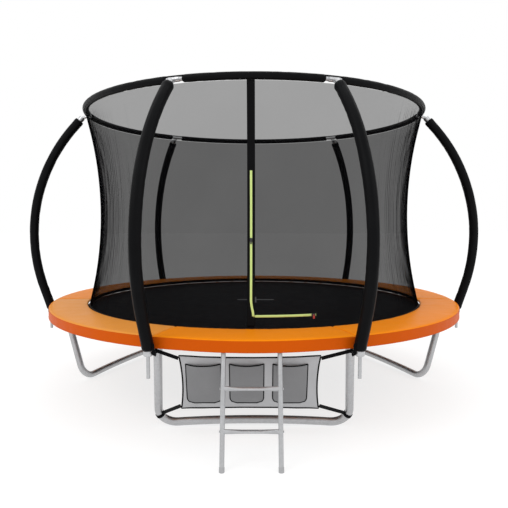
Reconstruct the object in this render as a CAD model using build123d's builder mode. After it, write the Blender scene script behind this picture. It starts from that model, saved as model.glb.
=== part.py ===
"""Backyard trampoline with a safety net, a three-pocket bag and a short ladder.

Millimetres, +Z up.  The origin is on the ground under the middle of the whole object; the jumping
bed's own upright axis stands AXIS_Y behind it, because the ladder reaches out in front (-Y).
"""
from build123d import *
from math import asin, cos, degrees, pi, radians, sin, sqrt
import os

os.makedirs("parts", exist_ok=True)

# ---- driving dimensions -------------------------------------------------------------------
AXIS_Y = 90                  # the bed's axis, behind the origin

RING_R = 1472                # frame ring, centreline radius
RING_Z = 569
RING_TUBE = 21               # tube radius
WALL = 1.5                   # wall of every steel tube
GAP = 0.05                   # radial clearance of one tube in another

FRONT_HALF = 20.8            # half the angle between the two front poles
SIDE_FORWARD = 6             # the side poles stand this far forward of the widest line
BACK_ANGLE = 53.3            # the back poles, measured from the widest line
STATIONS = [-90 - FRONT_HALF, -90 + FRONT_HALF, -SIDE_FORWARD, BACK_ANGLE,
            180 - BACK_ANGLE, 180 + SIDE_FORWARD]      # azimuth of each pole and its leg socket
LEGS = {"front": (0, 1), "right": (2, 3), "left": (4, 5)}  # the two stations that each leg joins

SOCKET_HALF = 2.3            # half the arc that a leg socket covers, degrees
SOCKET_OUTER = 24.5
STUB_OUTER = 26
STUB_LENGTH = 76

LEG_TUBE = 24
LEG_LEAN = {"front": 26, "right": 18, "left": 18}      # each leg's plane leans in at the ground
LEG_SPLAY = {"front": 4.5, "right": 0, "left": 0}      # its uprights spread apart downward
LEG_BEND = 100
LEG_RISE = 18                # the foot bar bows up in its middle
LEG_JOINT = 40               # straight stub of the foot bar below each upright
SPIGOT = 60                  # how far one tube enters the next

POLE_TUBE = 19
POLE_R = 1570                # the pole's foot stands at this radius
POLE_ROD = 10                # thin swaged end below the pole
POLE_ROD_Z = 396
POLE_FOOT_Z = 515
POLE_BEND_Z = 552
POLE_BEND = 60
POLE_OUT = 18                # leans out by this much above the bend
POLE_STRAIGHT = 150
POLE_ARC = 1250
POLE_IN = 41                 # leans in by this much at the top
POLE_TOP_STRAIGHT = 100
POLE_SPLIT = 11.5            # the two halves meet where the pole leans in by this much
SLEEVE_R = 34
SLEEVE_Z = 548
SLEEVE_SHORT = 26            # bare pole left at the top

HOOP_R = 1256                # hoop that carries the net
HOOP_Z = 2018
HOOP_TUBE = 12.5
HOOP_SLEEVE = 23
HOOP_BARE = 2.3              # the hoop is bare on each side of a pole, degrees

NET_ARC = 2590               # radius of the net's waisted profile
NET_ARC_R = 3753             # where the centre of that profile stands
NET_ARC_Z = 1295
NET_LOW = 590
NET_HIGH = 1994
NET_THICK = 2
NET_PANELS = 24              # round the net
NET_ROWS = 4                 # up the net

MAT_R = 1282
MAT_Z = 581
MAT_THICK = 2.5
WEBBING = 32
SPRINGS = 54
SPRING_Z = 576
SPRING_R = 11
SPRING_WALL = 3
SPRING_INNER = 1318          # the coil runs from here
SPRING_OUTER = 1440          # to here
HOOK_WIRE = 2

PAD_INNER = 1268
PAD_OUTER = 1532
PAD_LOW = 598
PAD_HIGH = 620
SKIRT_THICK = 3
SKIRT_LOW = 550
SKIRT_SWELL = 1548           # the skirt stands out this far over the ladder's hooks
SWELL_RADIUS = 1202          # radius of its curve there

DOOR_AZ = -90.8              # the door's upright zip
BAND_WIDTH = 45
ZIP_WIDTH = 15
ZIP_LOW = 684
ZIP_HIGH = 1510
ZIP_SWEEP = 17.6             # arc of the lower, level stretch of zip
SLIDER_Z = 1114
SLIDER_LENGTH = 24
SLIDER_WIDTH = 15
SLIDER_THICK = 6
PULL_LENGTH = 24

LADDER_X = -12               # the ladder's middle
LADDER_HALF = 146            # rail centre to the ladder's middle
LADDER_TUBE = 12.5
LADDER_FOOT = 1700           # the feet stand this far in front of the bed's axis
LADDER_LEAN = 19
LADDER_TOP_Z = 582
RUNG_Z = [178, 374]
LADDER_HINGE = 1464.7        # the frame tube under the hooks, in front of the bed's axis
HOOK_INNER = 24.4
HOOK_THICK = 3
HOOK_WIDTH = 25

BAG_X = -22
BAG_WIDTH = 752
BAG_HEIGHT = 330
BAG_TOP = (1450, 514)        # distance in front of the bed's axis, height
BAG_LEAN = 16
BAG_CLOTH = 3
POCKETS = [(-271, 186), (-39, 183), (194, 185)]   # middle and width of each pocket
POCKET_TOP = 50              # below the bag's top edge
POCKET_LOW = 36              # above the bag's bottom edge
POCKET_DEPTH = 24
POCKET_CORNER = 30

# ---- places -------------------------------------------------------------------------------
UP = Vector(0, 0, 1)
BED_AXIS = Axis((0, AXIS_Y, 0), (0, 0, 1))


def outward(azimuth):
    """Level unit vector pointing away from the bed's axis."""
    return Vector(cos(radians(azimuth)), sin(radians(azimuth)), 0)


def station(azimuth, radius, height):
    """A point at this azimuth, radius and height about the bed's axis."""
    return Vector(0, AXIS_Y, height) + outward(azimuth) * radius


def level(height):
    """Level plane at this height, centred on the bed's axis."""
    return Plane((0, AXIS_Y, height))


def radial(azimuth):
    """Upright plane through the bed's axis: its x runs outward and its y is the height."""
    out = outward(azimuth)
    return Plane((0, AXIS_Y, 0), x_dir=out, z_dir=out.cross(UP))


def across(point, direction):
    """Plane at this point, square to this direction."""
    return Plane(origin=point, z_dir=direction)


def tube(path, outer, inner, mode=Mode.ADD):
    """Sweep a round tube along the path, inside the part being built."""
    with BuildSketch(across(path @ 0, path % 0)) as section:
        Circle(outer)
        if inner:
            Circle(inner, mode=Mode.SUBTRACT)
    sweep(section.sketch, path=path, mode=mode)


def rod(start, end, radius, mode=Mode.ADD):
    """Straight round rod between two points, inside the part being built."""
    with BuildSketch(across(start, end - start)) as section:
        Circle(radius)
    extrude(section.sketch, amount=(end - start).length, mode=mode)


def arc_tube(start, span, radius, height, outer, inner, mode=Mode.ADD):
    """Tube that follows a circle about the bed's axis from azimuth start, over span degrees."""
    with BuildSketch(radial(start)) as section:
        with Locations((radius, height)):
            Circle(outer)
            if inner:
                Circle(inner, mode=Mode.SUBTRACT)
    revolve(section.sketch, axis=BED_AXIS, revolution_arc=span, mode=mode)


# ---- frame ring ---------------------------------------------------------------------------
RAIL_GAP = 0.25              # from each rail's end to its socket's middle, degrees

for index, start in enumerate(STATIONS):
    span = (STATIONS[(index + 1) % 6] - start) % 360 - 2 * RAIL_GAP
    with BuildPart() as frame_rail:
        arc_tube(start + RAIL_GAP, span, RING_R, RING_Z, RING_TUBE, RING_TUBE - WALL)
    frame_rail.part.label = f"frame_rail_{index + 1}"
    export_step(frame_rail.part, f"parts/frame_rail_{index + 1}.step")


# ---- legs ---------------------------------------------------------------------------------
def leg_plane(name):
    """Leaning plane of a leg: x runs from its first socket to its second, y up the slope."""
    first, second = (station(STATIONS[i], RING_R, RING_Z) for i in LEGS[name])
    along = (second - first).normalized()
    inward = UP.cross(along)
    up_slope = UP * cos(radians(LEG_LEAN[name])) - inward * sin(radians(LEG_LEAN[name]))
    return Plane(first, x_dir=along, z_dir=along.cross(up_slope))


def leg_span(name):
    """Distance between a leg's two uprights."""
    first, second = (station(STATIONS[i], RING_R, RING_Z) for i in LEGS[name])
    return (second - first).length


def straight_length(name):
    """Length of a leg's straight part, from the ring's centre down to its bottom bend."""
    drop = (RING_Z - LEG_TUBE) / cos(radians(LEG_LEAN[name]))
    splay = radians(LEG_SPLAY[name])
    return (drop - LEG_BEND * (1 + sin(splay))) / cos(splay)


UPRIGHT_TOP = 30             # the upright starts this far below the ring's centre

leg_axes = {}                # station index: (point on the ring, unit vector down the leg)
upright_low = {}             # station index: where the upright ends, down the leg
for name, pair in LEGS.items():
    plane = leg_plane(name)
    splay = radians(LEG_SPLAY[name])
    for i, side in zip(pair, (-1, 1)):
        down = plane.x_dir * side * sin(splay) - plane.y_dir * cos(splay)
        leg_axes[i] = (station(STATIONS[i], RING_R, RING_Z), down)
        upright_low[i] = straight_length(name) - LEG_JOINT

with BuildPart() as leg_sockets:
    for i, azimuth in enumerate(STATIONS):
        top, down = leg_axes[i]
        arc_tube(azimuth - SOCKET_HALF, 2 * SOCKET_HALF, RING_R, RING_Z, SOCKET_OUTER, None)
        rod(top, top + down * STUB_LENGTH, STUB_OUTER)
    for i, azimuth in enumerate(STATIONS):
        top, down = leg_axes[i]
        rod(top + down * UPRIGHT_TOP, top + down * (STUB_LENGTH + 1), LEG_TUBE + GAP, Mode.SUBTRACT)
    arc_tube(0, 360, RING_R, RING_Z, RING_TUBE + GAP, None, Mode.SUBTRACT)
leg_sockets.part.label = "leg_sockets"
export_step(leg_sockets.part, "parts/leg_sockets.step")

for i, (top, down) in leg_axes.items():
    with BuildPart() as leg_upright:
        rod(top + down * (UPRIGHT_TOP + 0.5), top + down * upright_low[i], LEG_TUBE)
        rod(top + down * UPRIGHT_TOP, top + down * (upright_low[i] + 1), LEG_TUBE - WALL, Mode.SUBTRACT)
    leg_upright.part.label = f"leg_upright_{i + 1}"
    export_step(leg_upright.part, f"parts/leg_upright_{i + 1}.step")

foot_bars = {}
for name, (first, last) in LEGS.items():
    plane = leg_plane(name)
    splay = radians(LEG_SPLAY[name])
    half = leg_span(name) / 2
    # The foot bar dips at both corners and bows up between them, in three tangent arcs.
    tilt = 2 * LEG_RISE / (half - LEG_BEND)
    bend_end = LEG_BEND * (cos(splay) + sin(tilt)) - straight_length(name) * sin(splay)
    bow = (half - bend_end) / sin(tilt)
    turn = 90 + LEG_SPLAY[name] + degrees(tilt)
    first_top, first_down = leg_axes[first]
    last_down = leg_axes[last][1]
    with BuildPart() as leg_base:
        with BuildLine(plane) as foot_bar:
            stub_top = first_top + first_down * upright_low[first]
            drop = Line(stub_top, stub_top + first_down * LEG_JOINT)
            corner = JernArc(drop @ 1, drop % 1, LEG_BEND, turn)
            middle = JernArc(corner @ 1, corner % 1, bow, -2 * degrees(tilt))
            far_corner = JernArc(middle @ 1, middle % 1, LEG_BEND, turn)
            Line(far_corner @ 1, far_corner @ 1 - last_down * LEG_JOINT)
        tube(foot_bar.line, LEG_TUBE, LEG_TUBE - WALL)
        for i in LEGS[name]:
            top, down = leg_axes[i]
            low = top + down * upright_low[i]
            rod(low - down * SPIGOT, low + down * LEG_JOINT, LEG_TUBE - WALL - GAP)
            rod(low, low + down * LEG_JOINT, LEG_TUBE - WALL / 2)
            rod(low - down * (SPIGOT + 1), low + down * LEG_JOINT, LEG_TUBE - 2 * WALL, Mode.SUBTRACT)
    foot_bars[name] = foot_bar.wires()[0]
    leg_base.part.label = f"leg_base_{name}"
    export_step(leg_base.part, f"parts/leg_base_{name}.step")

# ---- enclosure poles ----------------------------------------------------------------------
# Seen side-on, a pole is upright at its foot, bends out, and comes back in along one big arc.
LEAN_OUT = radians(POLE_OUT)
LEAN_IN = radians(POLE_IN)
KNEE = (POLE_R + POLE_BEND * (1 - cos(LEAN_OUT)), POLE_BEND_Z + POLE_BEND * sin(LEAN_OUT))
ARC_FOOT = (KNEE[0] + POLE_STRAIGHT * sin(LEAN_OUT), KNEE[1] + POLE_STRAIGHT * cos(LEAN_OUT))
ARC_CENTRE = (ARC_FOOT[0] - POLE_ARC * cos(LEAN_OUT), ARC_FOOT[1] + POLE_ARC * sin(LEAN_OUT))
ARC_HEAD = (ARC_CENTRE[0] + POLE_ARC * cos(LEAN_IN), ARC_CENTRE[1] + POLE_ARC * sin(LEAN_IN))
POLE_HEAD = (ARC_HEAD[0] - POLE_TOP_STRAIGHT * sin(LEAN_IN),
             ARC_HEAD[1] + POLE_TOP_STRAIGHT * cos(LEAN_IN))


def along_top(length):
    """Point on the pole's top straight, this far above the big arc."""
    return (ARC_HEAD[0] - length * sin(LEAN_IN), ARC_HEAD[1] + length * cos(LEAN_IN))


def lower_route(foot_height, end_angle):
    """The pole from its foot up to a place on the big arc, inside a BuildLine."""
    Line((POLE_R, foot_height), (POLE_R, POLE_BEND_Z))
    CenterArc((POLE_R + POLE_BEND, POLE_BEND_Z), POLE_BEND, 180, -POLE_OUT)
    Line(KNEE, ARC_FOOT)
    CenterArc(ARC_CENTRE, POLE_ARC, -POLE_OUT, end_angle + POLE_OUT)


spigot_angle = degrees(SPIGOT / POLE_ARC)
for i, azimuth in enumerate(STATIONS):
    with BuildPart() as pole_lower:
        with BuildLine(radial(azimuth)) as lower_line:
            lower_route(POLE_FOOT_Z, POLE_SPLIT)
        tube(lower_line.line, POLE_TUBE, POLE_TUBE - WALL)
        rod(station(azimuth, POLE_R, POLE_FOOT_Z), station(azimuth, POLE_R, POLE_FOOT_Z + 4), POLE_TUBE)
        rod(station(azimuth, POLE_R, POLE_ROD_Z), station(azimuth, POLE_R, POLE_FOOT_Z), POLE_ROD)
    pole_lower.part.label = f"pole_lower_{i + 1}"
    export_step(pole_lower.part, f"parts/pole_lower_{i + 1}.step")

    with BuildPart() as pole_upper:
        with BuildLine(radial(azimuth)) as upper_line:
            CenterArc(ARC_CENTRE, POLE_ARC, POLE_SPLIT, POLE_IN - POLE_SPLIT)
            Line(ARC_HEAD, POLE_HEAD)
        tube(upper_line.line, POLE_TUBE, POLE_TUBE - WALL)
        with BuildLine(radial(azimuth)) as spigot_line:
            CenterArc(ARC_CENTRE, POLE_ARC, POLE_SPLIT - spigot_angle, 2 * spigot_angle)
        tube(spigot_line.line, POLE_TUBE - WALL - GAP, POLE_TUBE - 2 * WALL)
        with BuildLine(radial(azimuth)) as weld_line:
            CenterArc(ARC_CENTRE, POLE_ARC, POLE_SPLIT, spigot_angle)
        tube(weld_line.line, POLE_TUBE - WALL / 2, POLE_TUBE - 2 * WALL)
    pole_upper.part.label = f"pole_upper_{i + 1}"
    export_step(pole_upper.part, f"parts/pole_upper_{i + 1}.step")

    with BuildPart() as pole_sleeve:
        with BuildLine(radial(azimuth)) as sleeve_line:
            lower_route(SLEEVE_Z, POLE_IN)
            Line(ARC_HEAD, along_top(POLE_TOP_STRAIGHT - SLEEVE_SHORT))
        tube(sleeve_line.line, SLEEVE_R, POLE_TUBE + GAP)
    pole_sleeve.part.label = f"pole_sleeve_{i + 1}"
    export_step(pole_sleeve.part, f"parts/pole_sleeve_{i + 1}.step")

# ---- stand-off clamps between the poles and the leg sockets --------------------------------
CLAMP_Z = 531
CLAMP_HEIGHT = 24
CLAMP_HALF = 13              # half the arm's width
CLAMP_BAND = 24.5
BOLT_R = 4
BOLT_AT = 1532               # radius at which the bolt crosses the arm

with BuildPart() as pole_clamps:
    for i, azimuth in enumerate(STATIONS):
        with BuildSketch(radial(azimuth)):
            with Locations(((RING_R + POLE_R) / 2, CLAMP_Z)):
                Rectangle(POLE_R - RING_R, CLAMP_HEIGHT)
        extrude(amount=CLAMP_HALF, both=True)
        with BuildSketch(across(station(azimuth, POLE_R, CLAMP_Z - CLAMP_HEIGHT / 2), UP)):
            Circle(CLAMP_BAND)
        extrude(amount=CLAMP_HEIGHT)
    for i, azimuth in enumerate(STATIONS):
        top, down = leg_axes[i]
        rod(top - down * 10, top + down * (STUB_LENGTH + 10), STUB_OUTER + GAP, Mode.SUBTRACT)
        rod(station(azimuth, POLE_R, POLE_FOOT_Z), station(azimuth, POLE_R, POLE_BEND_Z),
            POLE_TUBE + GAP, Mode.SUBTRACT)
        side = outward(azimuth + 90) * (CLAMP_HALF + 1)
        bolt_at = station(azimuth, BOLT_AT, CLAMP_Z)
        rod(bolt_at - side, bolt_at + side, BOLT_R + GAP, Mode.SUBTRACT)
pole_clamps.part.label = "pole_clamps"
export_step(pole_clamps.part, "parts/pole_clamps.step")

with BuildPart() as clamp_bolts:
    for azimuth in STATIONS:
        side = outward(azimuth + 90)
        bolt_at = station(azimuth, BOLT_AT, CLAMP_Z)
        rod(bolt_at - side * (CLAMP_HALF + 9), bolt_at + side * CLAMP_HALF, BOLT_R)
        for face in (-CLAMP_HALF - 6, CLAMP_HALF):          # nut, then head
            with BuildSketch(across(bolt_at + side * face, side)):
                RegularPolygon(6.5, 6, major_radius=False)
            extrude(amount=6)
clamp_bolts.part.label = "clamp_bolts"
export_step(clamp_bolts.part, "parts/clamp_bolts.step")

# ---- hoop at the top ----------------------------------------------------------------------
with BuildPart() as top_hoop:
    arc_tube(0, 360, HOOP_R, HOOP_Z, HOOP_TUBE, HOOP_TUBE - WALL)
top_hoop.part.label = "top_hoop"
export_step(top_hoop.part, "parts/top_hoop.step")

with BuildPart() as hoop_sleeve:
    for index, start in enumerate(STATIONS):            # one length of foam between each two poles
        span = (STATIONS[(index + 1) % 6] - start) % 360 - 2 * HOOP_BARE
        arc_tube(start + HOOP_BARE, span, HOOP_R, HOOP_Z, HOOP_SLEEVE, HOOP_TUBE + GAP)
hoop_sleeve.part.label = "hoop_sleeve"
export_step(hoop_sleeve.part, "parts/hoop_sleeve.step")

SADDLE_HALF = 1.45           # half the arc that a saddle covers along the hoop, degrees
SADDLE_THICK = 3
SADDLE_FROM = -120           # the saddle wraps the hoop's lower outer side, between these angles
SADDLE_TO = 40
CUP_R = 21.5                 # cup over the pole's end
CUP_DEPTH = 24
CUP_CAP = 4
NECK_R = 11

with BuildPart() as hoop_brackets:
    for azimuth in STATIONS:
        with BuildSketch(radial(azimuth - SADDLE_HALF)):
            with BuildLine():
                outer = CenterArc((HOOP_R, HOOP_Z), HOOP_TUBE + SADDLE_THICK, SADDLE_FROM,
                                  SADDLE_TO - SADDLE_FROM)
                inner = CenterArc((HOOP_R, HOOP_Z), HOOP_TUBE + GAP, SADDLE_FROM,
                                  SADDLE_TO - SADDLE_FROM)
                Line(outer @ 0, inner @ 0)
                Line(outer @ 1, inner @ 1)
            make_face()
        revolve(axis=BED_AXIS, revolution_arc=2 * SADDLE_HALF)
        pole_way = outward(azimuth) * -sin(LEAN_IN) + UP * cos(LEAN_IN)
        head = station(azimuth, *POLE_HEAD)
        rod(head - pole_way * CUP_DEPTH, head + pole_way * CUP_CAP, CUP_R)
        rod(head, station(azimuth, HOOP_R + HOOP_TUBE * cos(pi / 4), HOOP_Z - HOOP_TUBE * sin(pi / 4)),
            NECK_R)
    for azimuth in STATIONS:
        pole_way = outward(azimuth) * -sin(LEAN_IN) + UP * cos(LEAN_IN)
        head = station(azimuth, *POLE_HEAD)
        rod(head - pole_way * (CUP_DEPTH + 1), head + pole_way * 0.5, POLE_TUBE + GAP, Mode.SUBTRACT)
    arc_tube(0, 360, HOOP_R, HOOP_Z, HOOP_TUBE + GAP, None, Mode.SUBTRACT)
hoop_brackets.part.label = "hoop_brackets"
export_step(hoop_brackets.part, "parts/hoop_brackets.step")


# ---- net, door band and zip ---------------------------------------------------------------
def net_radius(height, proud=0):
    """Radius of the net's mid surface at a height, or of a surface standing proud of it."""
    return NET_ARC_R - sqrt((NET_ARC - proud) ** 2 - (height - NET_ARC_Z) ** 2)


def net_strip(low, high, inside, outside):
    """Face in the radial plane that follows the net between two heights, inside a BuildSketch."""
    middle = (low + high) / 2
    with BuildLine() as outline:
        inner = ThreePointArc(*[(net_radius(z, inside), z) for z in (low, middle, high)])
        outer = ThreePointArc(*[(net_radius(z, outside), z) for z in (low, middle, high)])
        Line(inner @ 0, outer @ 0)
        Line(inner @ 1, outer @ 1)
    make_face(outline.edges())


BAND_FROM = NET_THICK / 2 + 0.3          # the band's inner face, proud of the net's mid surface
BAND_TO = BAND_FROM + 1
ZIP_TO = BAND_TO + 0.1 + 1.5

with BuildPart() as enclosure_net:
    with BuildSketch(radial(0)):
        net_strip(NET_LOW, NET_HIGH, -NET_THICK / 2, NET_THICK / 2)
    revolve(axis=BED_AXIS, revolution_arc=360)
    # Parted into touching panels, each of them nearly flat.
    for k in range(NET_PANELS // 2):
        split(bisect_by=radial(360 / NET_PANELS * (k + 0.5)), keep=Keep.BOTH)
    for k in range(1, NET_ROWS):
        split(bisect_by=level(NET_LOW + (NET_HIGH - NET_LOW) * k / NET_ROWS), keep=Keep.BOTH)
enclosure_net.part.label = "enclosure_net"
export_step(enclosure_net.part, "parts/enclosure_net.step")

with BuildPart() as door_band:
    with BuildSketch(radial(DOOR_AZ)):
        net_strip(PAD_HIGH + 4, NET_HIGH, BAND_FROM, BAND_TO)
    extrude(amount=BAND_WIDTH / 2, both=True)
door_band.part.label = "door_band"
export_step(door_band.part, "parts/door_band.step")

BAND_HALF_ANGLE = degrees(BAND_WIDTH / 2 / net_radius(ZIP_LOW))
with BuildPart() as door_zip:
    with BuildSketch(radial(DOOR_AZ)):
        net_strip(ZIP_LOW - ZIP_WIDTH / 2, ZIP_HIGH, BAND_TO + 0.1, ZIP_TO)
    extrude(amount=ZIP_WIDTH / 2, both=True)
    with BuildSketch(radial(DOOR_AZ + BAND_HALF_ANGLE + 0.1)):
        net_strip(ZIP_LOW - ZIP_WIDTH / 2, ZIP_LOW + ZIP_WIDTH / 2, BAND_FROM, BAND_FROM + 1.5)
    revolve(axis=BED_AXIS, revolution_arc=ZIP_SWEEP - BAND_HALF_ANGLE - 0.1)
door_zip.part.label = "door_zip"
export_step(door_zip.part, "parts/door_zip.step")

SLIDER_GAP = 0.4
BAIL_WIDTH = 4
BAIL_HEIGHT = 6
PIN_R = 1.5
PIN_AT = SLIDER_THICK + 3.4              # the pull's pin, out from the slider's inner face
PULL_WIDTH = 10
PULL_THICK = 1.8


def slider_place(azimuth, height, proud):
    """Plane lying on the zip's face: x level, y up the net, z out of it."""
    slope = asin((height - NET_ARC_Z) / NET_ARC)
    face = outward(azimuth) * cos(slope) - UP * sin(slope)
    return Plane(station(azimuth, net_radius(height, proud), height),
                 x_dir=UP.cross(outward(azimuth)), z_dir=face)


def slider(place, length_x, length_y):
    """Zip slider with the bail that its pull swings on, inside the part being built."""
    with BuildSketch(place) as body:
        RectangleRounded(length_x, length_y, 4)
    extrude(body.sketch, amount=SLIDER_THICK)
    with BuildSketch(place.offset(SLIDER_THICK)) as bail:
        RectangleRounded(BAIL_WIDTH, BAIL_HEIGHT, 1)
    extrude(bail.sketch, amount=PIN_AT - SLIDER_THICK + PIN_R + 1.2)
    pin_at = place.from_local_coords(Vector(0, 0, PIN_AT))
    side = place.x_dir * BAIL_WIDTH
    rod(pin_at - side, pin_at + side, PIN_R + 0.08, Mode.SUBTRACT)


def pull_tab(place):
    """Pull that hangs plumb from the bail, inside the part being built."""
    pin_at = place.from_local_coords(Vector(0, 0, PIN_AT))
    side = place.x_dir
    rod(pin_at - side * PULL_WIDTH / 2, pin_at + side * PULL_WIDTH / 2, PIN_R)
    face = side.cross(UP)
    hang = Plane(pin_at - face * PULL_THICK / 2, x_dir=side, z_dir=face)
    with BuildSketch(hang) as blade:
        with Locations((0, -PULL_LENGTH / 2 + PIN_R)):
            RectangleRounded(PULL_WIDTH, PULL_LENGTH, 1.4)
        with Locations((0, -2)):
            Rectangle(BAIL_WIDTH + 1.2, 14, mode=Mode.SUBTRACT)
        with Locations((0, -PULL_LENGTH + 7)):
            Circle(2.2, mode=Mode.SUBTRACT)
    extrude(blade.sketch, amount=PULL_THICK)


upper_place = slider_place(DOOR_AZ, SLIDER_Z, ZIP_TO + SLIDER_GAP)
lower_place = slider_place(DOOR_AZ + ZIP_SWEEP - 0.8, ZIP_LOW, BAND_FROM + 1.5 + SLIDER_GAP)

with BuildPart() as upper_slider:
    slider(upper_place, SLIDER_WIDTH, SLIDER_LENGTH)
upper_slider.part.label = "upper_slider"
export_step(upper_slider.part, "parts/upper_slider.step")

with BuildPart() as lower_slider:
    slider(lower_place, SLIDER_LENGTH, SLIDER_WIDTH)
lower_slider.part.label = "lower_slider"
export_step(lower_slider.part, "parts/lower_slider.step")

with BuildPart() as upper_pull:
    pull_tab(upper_place)
upper_pull.part.label = "upper_pull"
export_step(upper_pull.part, "parts/upper_pull.step")

with BuildPart() as lower_pull:
    pull_tab(lower_place)
lower_pull.part.label = "lower_pull"
export_step(lower_pull.part, "parts/lower_pull.step")

# ---- jumping bed --------------------------------------------------------------------------
with BuildPart() as jumping_mat:
    with BuildSketch(level(MAT_Z)):
        Circle(MAT_R)
    extrude(amount=MAT_THICK)
jumping_mat.part.label = "jumping_mat"
export_step(jumping_mat.part, "parts/jumping_mat.step")

with BuildPart() as mat_webbing:
    with BuildSketch(level(MAT_Z - MAT_THICK)):
        Circle(MAT_R)
        Circle(MAT_R - WEBBING, mode=Mode.SUBTRACT)
    extrude(amount=MAT_THICK)
mat_webbing.part.label = "mat_webbing"
export_step(mat_webbing.part, "parts/mat_webbing.step")

SPRING_ANGLES = [-90 + 360 / SPRINGS * (k + 0.5) for k in range(SPRINGS)]
RING_WIRE = 4                # V-ring wire
V_INNER = MAT_R + 0.4
V_OUTER = 1301
V_WIDE = 44                  # width beside the mat
V_SIDE = 60                  # slope of the ring's two sides

with BuildPart() as mat_rings:
    for azimuth in SPRING_ANGLES:
        with BuildSketch(Plane((0, AXIS_Y, SPRING_Z - RING_WIRE / 2), x_dir=outward(azimuth))):
            with Locations(((V_INNER + V_OUTER) / 2, 0)):
                Trapezoid(V_WIDE, V_OUTER - V_INNER, V_SIDE, rotation=-90)
                offset(amount=-RING_WIRE, mode=Mode.SUBTRACT)
        extrude(amount=RING_WIRE)
mat_rings.part.label = "mat_rings"
export_step(mat_rings.part, "parts/mat_rings.step")

with BuildPart() as springs:
    for azimuth in SPRING_ANGLES:
        rod(station(azimuth, V_OUTER + 1.5, SPRING_Z), station(azimuth, SPRING_INNER + 1, SPRING_Z), HOOK_WIRE)
        rod(station(azimuth, SPRING_OUTER - 1, SPRING_Z),
            station(azimuth, RING_R - STUB_OUTER - 1, SPRING_Z), HOOK_WIRE)
        rod(station(azimuth, SPRING_INNER, SPRING_Z), station(azimuth, SPRING_OUTER, SPRING_Z), SPRING_R)
        rod(station(azimuth, SPRING_INNER + SPRING_WALL, SPRING_Z),
            station(azimuth, SPRING_OUTER - SPRING_WALL, SPRING_Z), SPRING_R - SPRING_WALL, Mode.SUBTRACT)
springs.part.label = "springs"
export_step(springs.part, "parts/springs.step")

# ---- pad over the springs -----------------------------------------------------------------
with BuildPart() as safety_pad:
    with BuildSketch(radial(0)):
        with Locations(((PAD_INNER + PAD_OUTER) / 2, (PAD_LOW + PAD_HIGH) / 2)):
            RectangleRounded(PAD_OUTER - PAD_INNER, PAD_HIGH - PAD_LOW, 9)
    revolve(axis=BED_AXIS, revolution_arc=360)
safety_pad.part.label = "safety_pad"
export_step(safety_pad.part, "parts/safety_pad.step")

with BuildPart() as pad_skirt:
    with BuildSketch(level(SKIRT_LOW)) as hem:
        Circle(PAD_OUTER + SKIRT_THICK)
        with Locations((LADDER_X, SWELL_RADIUS - SKIRT_SWELL)):
            Circle(SWELL_RADIUS)
        Circle(PAD_OUTER + 0.2, mode=Mode.SUBTRACT)
        with Locations((LADDER_X, SWELL_RADIUS - SKIRT_SWELL)):
            Circle(SWELL_RADIUS - SKIRT_THICK + 0.2, mode=Mode.SUBTRACT)
    extrude(hem.sketch, amount=PAD_HIGH - 8 - SKIRT_LOW)
pad_skirt.part.label = "pad_skirt"
export_step(pad_skirt.part, "parts/pad_skirt.step")


# ---- ladder -------------------------------------------------------------------------------
def ladder_point(x, forward, height):
    """Point at this distance in front of the bed's axis."""
    return Vector(LADDER_X + x, AXIS_Y - forward, height)


LADDER_WAY = Vector(0, sin(radians(LADDER_LEAN)), cos(radians(LADDER_LEAN)))   # up the rails


def on_rail(x, height):
    """Point on a rail's centreline at a height."""
    return ladder_point(x, LADDER_FOOT, 0) + LADDER_WAY * (height / cos(radians(LADDER_LEAN)))


SCREW_R = 3
RUNG_TUBE = 12
RUNG_WIDE = 17               # half the tread's width where the tube is pressed flat
RUNG_FLAT = 8.5              # half its thickness there
FLAT_TO = 50                 # the pressed part ends here, from the ladder's middle
ROUND_FROM = 124
FOOT_CAP = 13.9
CAP_HEIGHT = 22

for side_name, side in (("left", -1), ("right", 1)):
    x = side * LADDER_HALF
    with BuildPart() as ladder_rail:
        rod(on_rail(x, 6), on_rail(x, LADDER_TOP_Z), LADDER_TUBE)
        rod(on_rail(x, 4), on_rail(x, LADDER_TOP_Z - WALL), LADDER_TUBE - WALL, Mode.SUBTRACT)
        hook_plane = Plane(ladder_point(x, LADDER_HINGE, RING_Z), x_dir=(0, -1, 0), z_dir=(-1, 0, 0))
        with BuildSketch(hook_plane):
            with BuildLine():
                back = CenterArc((0, 0), HOOK_INNER + HOOK_THICK, -6, 182)
                front = CenterArc((0, 0), HOOK_INNER, -6, 182)
                Line(back @ 0, front @ 0)
                Line(back @ 1, front @ 1)
            make_face()
        extrude(amount=HOOK_WIDTH / 2, both=True)
        rod(ladder_point(x - HOOK_WIDTH, LADDER_HINGE, RING_Z),
            ladder_point(x + HOOK_WIDTH, LADDER_HINGE, RING_Z), HOOK_INNER, Mode.SUBTRACT)
        for height in RUNG_Z:
            screw_at = on_rail(x, height)
            across_rail = Vector(LADDER_TUBE + 2, 0, 0)
            rod(screw_at - across_rail, screw_at + across_rail, SCREW_R + GAP, Mode.SUBTRACT)
    ladder_rail.part.label = f"ladder_rail_{side_name}"
    export_step(ladder_rail.part, f"parts/ladder_rail_{side_name}.step")


def rung_section(middle, reach):
    """Plane across a rung, this far from its middle."""
    return Plane(middle + Vector(reach, 0, 0), x_dir=(0, -1, 0), z_dir=(1, 0, 0))


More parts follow.
